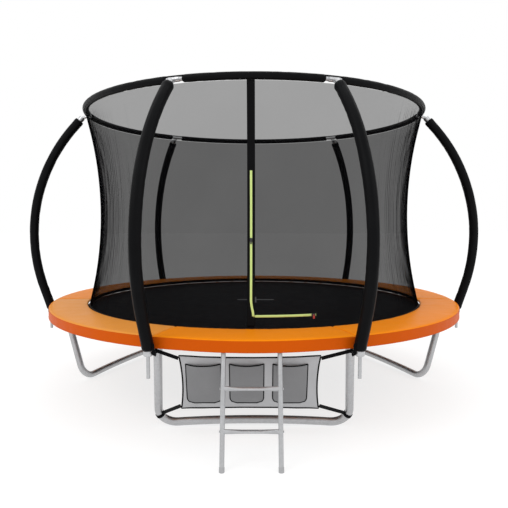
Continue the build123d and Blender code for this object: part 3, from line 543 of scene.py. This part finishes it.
def build_hoop_sleeve(index, start, end):
    """Foam length on the hoop between two poles, wrinkled a little, with tucked ends."""
    start, end = start + HOOP_BARE, end - HOOP_BARE
    count, sides = int((end - start) * HOOP_RINGS), 20
    path = [place(start + (end - start) * k / (count - 1), HOOP_R, HOOP_Z) for k in range(count)]

    def radius(i, angle):
        azimuth = start + (end - start) * i / (count - 1)
        body = HOOP_SLEEVE - 0.0006
        body -= 0.0030 * wave(azimuth * 0.35, cos(angle), sin(angle), scale=1.3, seed=5) ** 2
        from_end = min(i, count - 1 - i) / HOOP_RINGS
        return body - 0.008 * max(0.0, 1 - from_end / 0.5) ** 2

    points, faces, uvs = tube(path, radius, sides, up=Vector((0, 0, 1)))
    piece = make(f"hoop_foam_{index}", points, faces, SLEEVE, "frame", uvs)
    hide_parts("hoop_sleeve")


for i, azimuth in enumerate(STATIONS):
    build_hoop_sleeve(i + 1, azimuth, azimuth + (STATIONS[(i + 1) % 6] - azimuth) % 360)

hem_route = [place(k, HOOP_R + 0.004, HOOP_Z + 0.0165) for k in range(360)]
hem_cord = make("net_hem_cord", *tube(hem_route, HEM_CORD_R, 10, closed=True)[:2], SLEEVE, "frame")


# ---- net ----------------------------------------------------------------------------------
NET_FOLD = 0.0040                     # how deep the fine folds are


def build_net():
    """Net from the hoop to the mat's edge, in fine upright folds."""
    folds, steps, rows = 290, 8, 30
    columns = folds * steps

    def front(i, j):
        height = NET_LOW + 0.001 + (NET_HIGH - NET_LOW - 0.002) * i / (rows - 1)
        azimuth = 360 * j / columns
        t = i / (rows - 1)
        free = ease(t / 0.05) * ease((1 - t) / 0.05)
        drift = 1.6 * wave(azimuth * 0.35, t * 1.3, seed=3)
        fold = sin(tau * j / steps + drift) * (0.8 + 0.5 * wave(azimuth * 0.8, t * 1.6, seed=8))
        door = ease((abs((azimuth - DOOR_AZ + 180) % 360 - 180) - 1.4) / 2.0)
        level_zip = ease((abs(height - ZIP_LOW) - 0.008) / 0.02)
        door *= level_zip if 0 < (azimuth - DOOR_AZ) % 360 < ZIP_SWEEP + 1.5 else 1.0
        return place(azimuth, net_radius(height) + NET_FOLD * fold * free * door, height)

    points, faces = grid(rows, columns, front, closed_columns=True)
    return make("net", points, faces, NET)


net = build_net()
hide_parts("enclosure_net")


# ---- net binding at the foot, door band and zip ---------------------------------------------
def ring_strip(name, height_low, height_high, proud, thick, shade, body, start=0.0, sweep=360.0, rows=4):
    """Flat tape round the net, following its slope."""
    columns = max(8, int(sweep * 1.5))
    closed = sweep >= 360

    def front(i, j):
        height = height_low + (height_high - height_low) * i / (rows - 1)
        azimuth = start + sweep * j / (columns if closed else columns - 1)
        return place(azimuth, net_radius(height, proud), height), net_normal(azimuth, height)

    points, faces = sheet_solid(rows, columns, front, thick, closed_columns=closed)
    return make(name, points, faces, shade, body)


net_foot = ring_strip("net_foot_binding", 0.5905, 0.6160, 0.0018, 0.0012, WEBBING, "frame")

BAND_HALF = 0.0225


def zip_drift(height):
    """How far the zip's lowest stretch has curved over to the right by this height."""
    return 0.013 * ease((0.790 - height) / (0.790 - ZIP_LOW)) ** 1.5


def strip_up(name, low, high, half_width, proud, thick, shade, body="frame", rows=90, ripple=0.0):
    """Tape up the door line: flat across, following the net's profile."""
    across_way = Vector((0, 0, 1)).cross(outward(DOOR_AZ))

    def front(i, j):
        height = low + (high - low) * i / (rows - 1)
        u = (j / 6) * 2 - 1
        normal = net_normal(DOOR_AZ, height)
        sway = (ripple * wave(height * 6, 0.3, seed=2) + zip_drift(height)) if ripple else 0.0
        at = place(DOOR_AZ, net_radius(height, proud), height) + across_way * (half_width * u + sway)
        edge = 0.0005 * max(0.0, abs(u) - 0.66) * 3
        return at + normal * (edge + 0.0004 * wave(height * 14, u, seed=4)), normal

    points, faces = sheet_solid(rows, 7, front, thick)
    return make(name, points, faces, shade, body)


band = strip_up("door_tape", 0.624, NET_HIGH, BAND_HALF, 0.0022, 0.0012, WEBBING)
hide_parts("door_band")


def teeth(route, half_width, pitch=0.0040):
    """Interlocked coil teeth: small bars set alternately left and right along a route."""
    parts = []
    lengths = [0.0]
    for (a, _), (b, _) in zip(route, route[1:]):
        lengths.append(lengths[-1] + (b - a).length)
    k = 0
    for n in range(int(lengths[-1] / pitch)):
        s = (n + 0.5) * pitch
        while lengths[k + 1] < s:
            k += 1
        f = (s - lengths[k]) / (lengths[k + 1] - lengths[k])
        at = route[k][0].lerp(route[k + 1][0], f)
        way = (route[k + 1][0] - route[k][0]).normalized()
        face = route[k][1]
        side = face.cross(way)
        lean = side * (half_width * (0.35 if n % 2 else -0.35))
        parts.append(block(at + lean, side, way, face, (half_width * 1.3, pitch * 0.62, 0.0016)))
    return joined(parts)


def zip_upright_point(height, proud):
    along = Vector((0, 0, 1)).cross(outward(DOOR_AZ)) * zip_drift(height)
    return place(DOOR_AZ, net_radius(height, proud), height) + along, net_normal(DOOR_AZ, height)


def zip_level_point(azimuth, proud):
    return place(azimuth, net_radius(ZIP_LOW, proud), ZIP_LOW), net_normal(azimuth, ZIP_LOW)


zip_tape = strip_up("zip_tape_upright", ZIP_LOW, ZIP_HIGH, 0.0065, 0.0033, 0.0006, LIME, ripple=0.0006)
upright_route = [zip_upright_point(ZIP_LOW + (ZIP_HIGH - ZIP_LOW) * k / 60, 0.0042) for k in range(61)]
zip_chain = make("zip_chain_upright", *teeth(upright_route, 0.0042)[:2], LIME, "frame", smooth=False)
level_tape = ring_strip("zip_tape_level", ZIP_LOW - 0.0065, ZIP_LOW + 0.0065, 0.0018, 0.0006, LIME, "frame",
                        DOOR_AZ + 0.9, ZIP_SWEEP - 0.9)
level_route = [zip_level_point(DOOR_AZ + 0.7 + (ZIP_SWEEP - 0.8) * k / 40, 0.0030) for k in range(41)]
level_chain = make("zip_chain_level", *teeth(level_route, 0.0042)[:2], LIME, "frame", smooth=False)
for piece in (zip_tape, zip_chain, level_tape, level_chain):
    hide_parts("door_zip")


# ---- jumping mat, webbing, rings and springs ------------------------------------------------
def build_mat():
    """One round cloth, slightly slack, with a turned and stitched edge."""
    rings, columns = 46, 216

    def level_of(r):
        slack = -0.0012 * (1 - (r / MAT_R) ** 2)
        return MAT_TOP - 0.0004 + slack

    points, faces = [Vector((0, AXIS_Y, level_of(0)))], []
    for i in range(1, rings + 1):
        r = (MAT_R - 0.0004) * i / rings
        for j in range(columns):
            a = 360 * j / columns
            pucker = 0.0006 * wave(a * 0.9, r, seed=6) * ease((r - 0.9) / 0.4)
            points.append(place(a, r, level_of(r) + pucker * 0.6 - 0.0003))
    for j in range(columns):
        faces.append([0, 1 + j, 1 + (j + 1) % columns])
        for i in range(rings - 1):
            a, b = 1 + i * columns, 1 + (i + 1) * columns
            faces.append([a + j, b + j, b + (j + 1) % columns, a + (j + 1) % columns])
    top = len(points)
    points += [p - Vector((0, 0, 0.0018)) for p in points]
    faces += [[top + k for k in face[::-1]] for face in faces]
    rim = 1 + (rings - 1) * columns
    faces += [[rim + (j + 1) % columns, rim + j, top + rim + j, top + rim + (j + 1) % columns]
              for j in range(columns)]
    piece = make("mat_cloth", points, faces, JUMP, "bed")
    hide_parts("jumping_mat")


build_mat()


def flat_ring(name, inner, outer, low, high, shade, body, columns=216):
    """Stitched webbing ring: flat, with two sewn grooves."""
    profile = [(inner, low), (outer, low), (outer, high), (outer * 0.75 + inner * 0.25, high),
               ((inner + outer) / 2, high - 0.0004), (inner * 0.75 + outer * 0.25, high), (inner, high)]
    points, faces = grid(columns, len(profile), lambda i, j: place(360 * i / columns, *profile[j]),
                         closed_rows=True, closed_columns=True)
    middle = 1.27
    uvs = [(tau * middle * (k // len(profile)) / columns, 0.02 * (k % len(profile)))
           for k in range(len(points))]
    return make(name, points, faces, shade, body, uvs)


webbing_ring = flat_ring("mat_edge_webbing", MAT_R - 0.032, MAT_R, 0.5785, 0.5808, WEBBING, "bed")
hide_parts("mat_webbing")

spring_angles = [-90 + 360 / SPRINGS * (k + 0.5) for k in range(SPRINGS)]


def v_ring(azimuth):
    """Triangular wire ring whose wide side lies in the mat's edge loops."""
    near, far, wide, narrow = MAT_R + 0.0025, 1.2995, 0.020, 0.008
    out, side = outward(azimuth), outward(azimuth + 90)
    base = place(azimuth, 0, SPRING_Z)
    corners = [(near, -wide), (far, -narrow), (far, narrow), (near, wide)]
    path = []
    for k, (r, s) in enumerate(corners):
        r0, s0 = corners[k - 1]
        r2, s2 = corners[(k + 1) % 4]
        for t, (pr, ps) in ((0.16, (r0, s0)), (0.05, (r0, s0)), (0.05, (r2, s2)), (0.16, (r2, s2))):
            path.append(base + out * (r + (pr - r) * t) + side * (s + (ps - s) * t))
    return tube(path, 0.0019, 8, closed=True)


rings_piece = make("v_rings", *joined([v_ring(a) for a in spring_angles])[:2], SPRING_ZINC, "bed")
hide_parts("mat_rings")

COIL_IN, COIL_OUT, COIL_R, WIRE = 1.318, 1.440, 0.0095, 0.0016


def coil(azimuth, turns=26, steps=10):
    """Close-wound spring with a hook at each end, as one wire."""
    out, side, up = outward(azimuth), outward(azimuth + 90), Vector((0, 0, 1))
    base = place(azimuth, 0, SPRING_Z)
    path = [base + out * 1.3045 + up * 0.0042, base + out * 1.3005 + up * 0.002,
            base + out * 1.3020 - up * 0.0035, base + out * 1.308 - up * 0.001, base + out * 1.314]
    for k in range(turns * steps + 1):
        a = tau * k / steps
        r = COIL_IN + (COIL_OUT - COIL_IN) * k / (turns * steps)
        path.append(base + out * r + side * (COIL_R * sin(a)) + up * (COIL_R * cos(a)))
    path += [base + out * 1.4435, base + out * 1.4445 - up * 0.004]
    return tube(path, WIRE, 6)


for group in range(SPRINGS // 3):
    members = spring_angles[group * 3:group * 3 + 3]
    points, faces, _ = joined([coil(a) for a in members])
    piece = make(f"spring_set_{group + 1:02d}", points, faces, SPRING_ZINC)
    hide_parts("springs")
    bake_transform(piece)


# ---- pad and skirt ------------------------------------------------------------------------
SKIRT_R, SWELL_R, SWELL_AZ, SWELL_FALL = 1.5340, 1.5465, -90.5, 0.223


def skirt_radius(azimuth):
    """The skirt's radius: it swells out over the ladder's rails."""
    side = radians((azimuth - SWELL_AZ + 180) % 360 - 180)
    return max(SKIRT_R, SWELL_R - SWELL_FALL * side * side)


# The pad's cross-section: (distance out from its inner edge, height over its underside).
PAD_PROFILE = [(0.006, 0.0008), (0.0010, 0.006), (0.0008, 0.014), (0.004, 0.0195), (0.012, 0.0212),
               (0.040, 0.0222), (0.090, 0.0228), (0.140, 0.0230), (0.190, 0.0226), (0.232, 0.0216),
               (0.250, 0.0204), (0.2600, 0.0180), (0.2645, 0.0135), (0.2652, 0.0090), (0.262, 0.003),
               (0.254, 0.0004), (0.170, 0.0002), (0.090, 0.0002)]


def build_pad_section(index, start, end):
    """One section of the spring pad: crowned, with a puckered outer seam and closed ends."""
    columns = max(60, int((end - start) * 3.2))
    margin = 0.035
    points, uvs = [], []
    for i in range(columns):
        azimuth = start + margin + (end - start - 2 * margin) * i / (columns - 1)
        from_end = min(azimuth - start, end - azimuth)
        swell = skirt_radius(azimuth) - SKIRT_R
        pinch = 1 - 0.30 * (1 - ease(from_end / 0.55))
        for j, (across, high) in enumerate(PAD_PROFILE):
            crown = ease((high - 0.012) / 0.010)
            puff = 0.0012 * wave(azimuth * 0.30, across * 9, seed=index) * crown
            pucker = 0.0011 * wave(azimuth * 1.5, 0.4, seed=index + 20) * ease((across - 0.20) / 0.06)
            pucker += 0.0010 * wave(azimuth * 1.7, 0.9, seed=index + 40) * ease((0.05 - across) / 0.05)
            z = PAD_LOW + high * pinch + puff + pucker * crown
            points.append(place(azimuth, PAD_INNER + across + swell * ease((across - 0.15) / 0.1), z))
            uvs.append((radians(azimuth) * 1.4, across))
    count = len(PAD_PROFILE)
    faces = []
    for i in range(columns - 1):
        for j in range(count):
            j2 = (j + 1) % count
            faces.append([i * count + j, (i + 1) * count + j, (i + 1) * count + j2, i * count + j2])
    faces.append(list(range(count)))
    faces.append([(columns - 1) * count + j for j in range(count)][::-1])
    # Section 6, front left, takes the paler copy of the orange: painted light on that side of the pad.
    piece = make(f"pad_section_{index}", points, faces, PAD_PAINTED_LIGHT if index == 6 else PAD_TOP, "frame", uvs)
    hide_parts("safety_pad")


for i in range(6):
    build_pad_section(i + 1, STATIONS[i], STATIONS[i] + (STATIONS[(i + 1) % 6] - STATIONS[i]) % 360)


def build_skirt():
    """Outer edge of the cover, sewn under the pad's lip and hanging over the ring, with a hem."""
    columns, rows = 900, 12
    top = PAD_LOW + 0.014

    def front(i, j):
        t = i / (rows - 1)
        azimuth = 360 * j / columns
        height = top + (SKIRT_LOW + 0.0005 - top) * t
        ripple = 0.0013 * wave(azimuth * 0.55, t * 0.6, seed=9) * ease(t / 0.8)
        hem = 0.0007 * ease((t - 0.80) / 0.06) - 0.0006 * max(0.0, 1 - abs(t - 0.80) / 0.05)
        return place(azimuth, skirt_radius(azimuth) + ripple + hem, height), outward(azimuth)

    points, faces = sheet_solid(rows, columns, front, 0.0016, closed_columns=True)
    piece = make("skirt", points, faces, SKIRT, "frame")
    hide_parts("pad_skirt")


build_skirt()


# ---- storage bag --------------------------------------------------------------------------
BAG_X, BAG_W, BAG_H, BAG_LEAN = -0.022, 0.752, 0.330, radians(16)
BAG_FACE = Vector((0, -cos(BAG_LEAN), -sin(BAG_LEAN)))
BAG_UP = Vector((0, -sin(BAG_LEAN), cos(BAG_LEAN)))
BAG_TOP = Vector((BAG_X, AXIS_Y - 1.450, 0.514))
BAG_MID = BAG_TOP - BAG_UP * (BAG_H / 2)
POCKETS = [(-0.271, 0.186), (-0.039, 0.183), (0.194, 0.185)]
POCKET_H, POCKET_MID = 0.244, -0.007


def on_bag(x, y, out=0.0):
    return BAG_MID + Vector((x, 0, 0)) + BAG_UP * y + BAG_FACE * out


def panel_edge(u, v):
    """Bag outline with its four edges bowing in between the strapped corners."""
    x = BAG_W / 2 * u * (1 - 0.036 * (1 - v * v))
    y = BAG_H / 2 * v * (1 - (0.075 if v > 0 else 0.035) * (1 - u * u))
    return x, y


def panel_out(x, y):
    """How far the panel's cloth stands out of its plane."""
    u, v = x / (BAG_W / 2), y / (BAG_H / 2)
    ripple = 0.0011 * wave(x * 9, y * 9, seed=31)
    pull = 0.0016 * sin(14 * (abs(u) - abs(v))) * ease((abs(u * v) - 0.35) / 0.5)
    return 0.0015 + ripple + pull - 0.004 * (1 - u * u) * (1 - v * v) * 0.25


def build_bag():
    rows, columns = 40, 90

    def front(i, j):
        x, y = panel_edge(2 * j / (columns - 1) - 1, 2 * i / (rows - 1) - 1)
        return on_bag(x, y, panel_out(x, y)), BAG_FACE

    points, faces = sheet_solid(rows, columns, front, 0.0012)
    panel = make("bag_panel", points, faces, BAG, "frame")
    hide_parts("storage_bag")
    outline = []
    for u, v, du, dv in ((-1, -1, 1, 0), (1, -1, 0, 1), (1, 1, -1, 0), (-1, 1, 0, -1)):
        for k in range(30):
            t = 2 * k / 30
            x, y = panel_edge(u + du * t, v + dv * t)
            outline.append(on_bag(x, y, panel_out(x, y)))
    tape = make("bag_binding", *ribbon(outline, 0.0085, 0.0030, closed=True)[:2], BINDING, "frame")
    for k, (middle, width) in enumerate(POCKETS):
        build_pocket(k + 1, middle - BAG_X, width)


def ribbon(path, wide, thick, closed=False, face=BAG_FACE):
    """Folded tape along a path, lying flat against a face."""
    count = len(path)
    points, faces = [], []
    for i, at in enumerate(path):
        before = path[(i - 1) % count] if closed or i else at
        after = path[(i + 1) % count] if closed or i < count - 1 else at
        way = (after - before).normalized()
        side = face.cross(way).normalized()
        for a, b in ((-1, -0.5), (-1, 0.5), (-0.7, 1), (0.7, 1), (1, 0.5), (1, -0.5), (0.7, -1), (-0.7, -1)):
            points.append(at + side * (a * wide / 2) + face * (b * thick / 2))
    for i in range(count if closed else count - 1):
        for k in range(8):
            i2, k2 = (i + 1) % count, (k + 1) % 8
            faces.append([i * 8 + k, i2 * 8 + k, i2 * 8 + k2, i * 8 + k2])
    if not closed:
        faces.append(list(range(8)))
        faces.append([(count - 1) * 8 + k for k in range(8)][::-1])
    return points, faces, [(0.0, 0.0)] * len(points)


def build_pocket(index, middle, width):
    """Patch pocket: sewn down at its sides and foot, its mouth standing off the panel."""
    rows, columns, corner = 26, 26, 0.034

    def outline(u, v):
        y = POCKET_MID + POCKET_H / 2 * v
        below = POCKET_MID - POCKET_H / 2 + corner - y
        half = width / 2
        if below > 0:
            half = half - corner + sqrt(max(0.0, corner ** 2 - min(below, corner) ** 2))
        return middle + half * u, y

    def at(u, v):
        x, y = outline(u, v)
        y -= 0.006 * (1 - u * u) * ease(v)                  # the mouth dips a little
        belly = (1 - abs(u) ** 2.6) * (0.30 + 0.70 * ease((v + 1) / 1.7)) * ease((v + 1) / 0.35)
        crumple = 0.0022 * wave(x * 16, y * 16, seed=index * 5) * (1 - u * u)
        return on_bag(x, y, panel_out(x, y) + 0.0016 + 0.0145 * belly + crumple)

    def front(i, j):
        return at(2 * j / (columns - 1) - 1, 2 * i / (rows - 1) - 1), BAG_FACE

    points, faces = sheet_solid(rows, columns, front, 0.0010)
    cloth = make(f"pocket_{index}", points, faces, POCKET, "frame")
    sides = [at(-1, 1 - 2 * k / 24) for k in range(24)] + [at(-1 + 2 * k / 24, -1) for k in range(1, 24)]
    sides += [at(1, -1 + 2 * k / 24) for k in range(1, 25)]
    mouth = [at(-1 + 2 * k / 30, 1) for k in range(31)]
    tape = joined([ribbon(sides, 0.0065, 0.0024), ribbon(mouth, 0.0065, 0.0028)])
    edge = make(f"pocket_binding_{index}", *tape[:2], BINDING, "frame")


def build_sleeve_tie(index, side):
    """Folded elastic tie poking out at the foot of a front sleeve, towards the bag."""
    azimuth = STATIONS[index]
    across = outward(azimuth + 90) * side
    turns = [(0.024, 0.590), (0.041, 0.574), (0.030, 0.562), (0.046, 0.548), (0.032, 0.538), (0.058, 0.526)]
    path = []
    for (a, low), (b, high) in zip(turns, turns[1:]):
        for k in range(6):
            t = ease(k / 6)
            at = place(azimuth, POLE_R + 0.012, low + (high - low) * k / 6)
            path.append(at + across * (a + (b - a) * t))
    tie = make(f"sleeve_tie_{index + 1}", *ribbon(path, 0.016, 0.0030, face=outward(azimuth))[:2], BINDING,
               "frame")


build_bag()
dress(["bag_straps"], WEBBING)
build_sleeve_tie(0, 1)
build_sleeve_tie(1, -1)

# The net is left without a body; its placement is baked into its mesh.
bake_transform(net)


# ---- floor, light and camera --------------------------------------------------------------
def build_stage():
    """Bright floor that hardly takes a shadow, a white surround and three soft lamps."""
    floor_shade = Shade("floor", (0.30, 0.30, 0.30), 0.8, Specular_IOR_Level=0.0, Emission_Strength=0.75)
    floor_shade.bsdf.inputs["Emission Color"].default_value = (1, 1, 1, 1)
    floor = make("floor", [(-40, -40, 0), (40, -40, 0), (40, 40, 0), (-40, 40, 0)], [[0, 1, 2, 3]],
                 floor_shade.material)
    world = bpy.data.worlds.new("studio")
    scene.world = world
    world.use_nodes = True
    world.node_tree.nodes["Background"].inputs[0].default_value = (1, 1, 1, 1)
    world.node_tree.nodes["Background"].inputs[1].default_value = 1.0
    for name, at, size, power in (("key", (-4.0, -4.5, 5.5), 3.0, 90), ("fill", (5.0, -3.5, 4.0), 4.0, 35),
                                  ("top", (0.0, 0.5, 7.0), 5.0, 60)):
        light = bpy.data.lights.new(name, "AREA")
        light.size, light.energy = size, power
        lamp = bpy.data.objects.new(name, light)
        lamp.location = at
        lamp.rotation_euler = (Vector((0, 0, 0.9)) - Vector(at)).to_track_quat("-Z", "Y").to_euler()
        scene.collection.objects.link(lamp)


def build_camera():
    """Just above the pad, a little over four metres in front of the bed's axis."""
    camera = bpy.data.cameras.new("camera")
    camera.lens = 37.665
    camera.sensor_width = 36
    eye = bpy.data.objects.new("camera", camera)
    eye.location = (0, AXIS_Y - 4.221, 1.239)
    eye.rotation_euler = (radians(90 - 3.85), 0, 0)
    scene.collection.objects.link(eye)
    scene.camera = eye


build_stage()
build_camera()
scene.view_settings.view_transform = "Standard"
